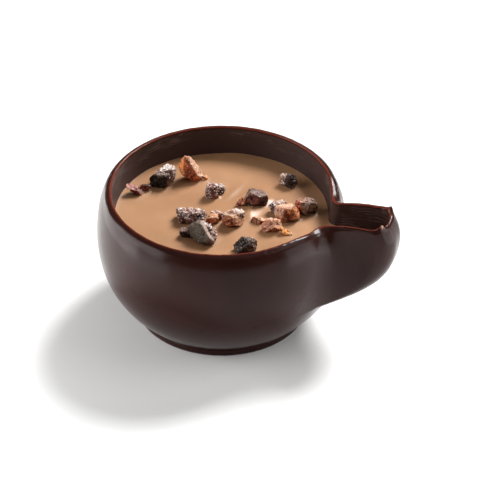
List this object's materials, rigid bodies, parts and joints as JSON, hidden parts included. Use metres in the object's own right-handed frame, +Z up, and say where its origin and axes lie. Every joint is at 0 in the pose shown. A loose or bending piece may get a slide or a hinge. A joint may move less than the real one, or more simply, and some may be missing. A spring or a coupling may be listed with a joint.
{
  "type": "filled chocolate cup",
  "caption": "Small moulded dark chocolate cup with a hollow handle and a round foot, filled with praline cream and topped with broken nut and cocoa chips.",
  "frame": {"origin": "middle of the round foot, on the plane that the cup stands on", "axes": "+Z up; +X from the middle of the bowl along the handle; the cup is mirror-symmetric about the XZ plane apart from its topping"},
  "size_m": [0.0454, 0.0368, 0.0222],
  "materials": {
    "dark_chocolate": "moulded dark chocolate with a satin gloss",
    "praline_cream": "smooth light brown praline cream with broken chips on top"
  },
  "bodies": {
    "root": {"chocolate_cup": "dark_chocolate", "praline_filling": "praline_cream"}
  },
  "joints": []
}
